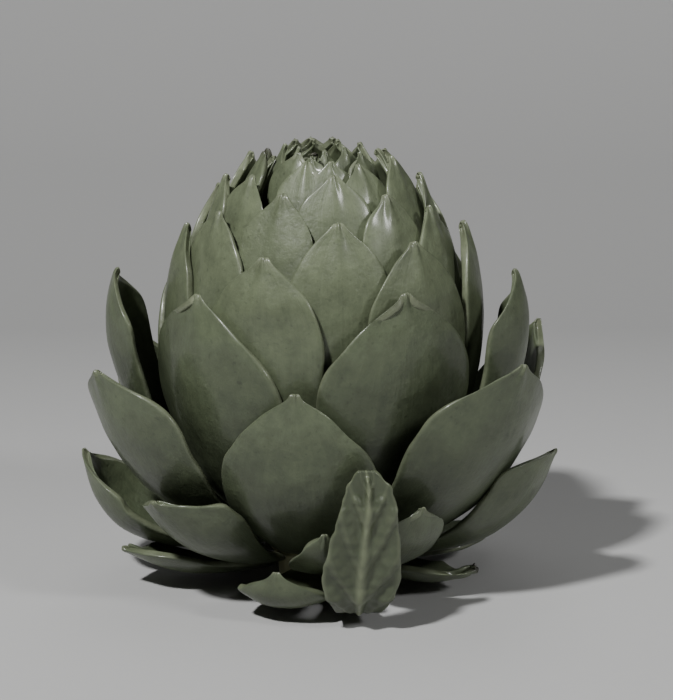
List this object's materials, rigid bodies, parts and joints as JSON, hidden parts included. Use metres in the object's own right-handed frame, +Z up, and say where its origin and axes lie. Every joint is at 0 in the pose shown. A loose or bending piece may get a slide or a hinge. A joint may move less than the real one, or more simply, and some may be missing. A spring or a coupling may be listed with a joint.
{
  "type": "artichoke",
  "caption": "Globe artichoke: overlapping fleshy bracts round a closed bud on a short cut stem with one small veined leaf; rests on its flat foot.",
  "frame": {"origin": "centre of the flat cut foot of the stem", "axes": "+Z up along the stem, -Y towards the side with the small stem leaf, +X to the right seen from that side"},
  "size_m": [0.1334, 0.1199, 0.1262],
  "materials": {
    "heart_flesh": "pale firm flesh, slightly moist",
    "choke_fibre": "pale fine fibres, matt",
    "bud_skin": "smooth satin skin, muted grey green",
    "leaf_skin": "satin skin with raised veins, muted grey green",
    "outer_bract_skin": "smooth satin to glossy skin, muted grey green, lighter towards tip and rim",
    "inner_bract_skin": "smooth satin to glossy skin, muted grey green, lighter towards tip and rim"
  },
  "bodies": {
    "root": {"heart": "heart_flesh", "choke": "choke_fibre", "innermost_bud": "bud_skin", "stem_leaf": "leaf_skin", "bract_foot_1": "outer_bract_skin", "bract_foot_2": "outer_bract_skin", "bract_foot_3": "outer_bract_skin", "bract_foot_4": "outer_bract_skin", "bract_foot_5": "outer_bract_skin", "bract_low_1": "outer_bract_skin", "bract_low_2": "outer_bract_skin", "bract_low_3": "outer_bract_skin", "bract_low_4": "outer_bract_skin", "bract_low_5": "outer_bract_skin", "bract_low_6": "outer_bract_skin", "bract_low_7": "outer_bract_skin", "bract_wide_1": "outer_bract_skin", "bract_wide_2": "outer_bract_skin", "bract_wide_3": "outer_bract_skin", "bract_wide_4": "outer_bract_skin", "bract_wide_5": "outer_bract_skin", "bract_wide_6": "outer_bract_skin", "bract_open_1": "outer_bract_skin", "bract_open_2": "outer_bract_skin", "bract_open_3": "outer_bract_skin", "bract_open_4": "outer_bract_skin", "bract_belt_1": "outer_bract_skin", "bract_belt_2": "outer_bract_skin", "bract_belt_3": "outer_bract_skin", "bract_belt_4": "outer_bract_skin", "bract_belt_5": "outer_bract_skin", "bract_mid_1": "outer_bract_skin", "bract_mid_2": "outer_bract_skin", "bract_mid_3": "outer_bract_skin", "bract_mid_4": "outer_bract_skin", "bract_mid_5": "outer_bract_skin", "bract_mid_6": "outer_bract_skin", "bract_upper_1": "inner_bract_skin", "bract_upper_2": "inner_bract_skin", "bract_upper_3": "inner_bract_skin", "bract_upper_4": "inner_bract_skin", "bract_upper_5": "inner_bract_skin", "bract_upper_6": "inner_bract_skin", "bract_high_1": "inner_bract_skin", "bract_high_2": "inner_bract_skin", "bract_high_3": "inner_bract_skin", "bract_high_4": "inner_bract_skin", "bract_high_5": "inner_bract_skin", "bract_high_6": "inner_bract_skin", "bract_top_1": "inner_bract_skin", "bract_top_2": "inner_bract_skin", "bract_top_3": "inner_bract_skin", "bract_top_4": "inner_bract_skin", "bract_top_5": "inner_bract_skin", "bract_top_6": "inner_bract_skin", "bract_crown_1": "inner_bract_skin", "bract_crown_2": "inner_bract_skin", "bract_crown_3": "inner_bract_skin", "bract_crown_4": "inner_bract_skin", "bract_crown_5": "inner_bract_skin"}
  },
  "joints": []
}
